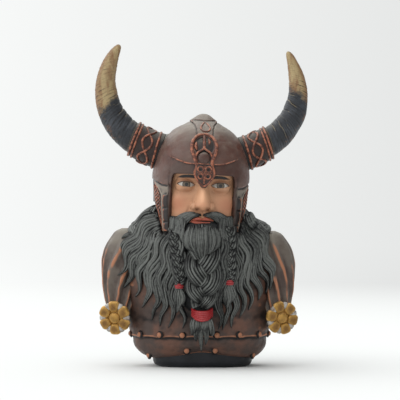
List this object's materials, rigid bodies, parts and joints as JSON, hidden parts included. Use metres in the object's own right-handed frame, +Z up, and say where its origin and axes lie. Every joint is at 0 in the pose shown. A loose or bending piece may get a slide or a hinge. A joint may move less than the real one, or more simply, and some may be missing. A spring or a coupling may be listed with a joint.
{
  "type": "viking warrior bust",
  "caption": "Painted bust of a bearded northern warrior in a horned helmet, with a plaited beard and studded leather armour, standing on its own black foot.",
  "frame": {"origin": "centre of the flat underside of the foot, on the table", "axes": "+Z up, -Y the way the face looks, +X towards the viewer's right"},
  "size_m": [0.2635, 0.1669, 0.3956],
  "materials": {
    "armour": "painted resin, brown leather with copper edges",
    "horn": "painted resin, slate to tan"
  },
  "bodies": {
    "root": {"bust": "armour", "horn_left": "horn", "horn_right": "horn"}
  },
  "joints": []
}
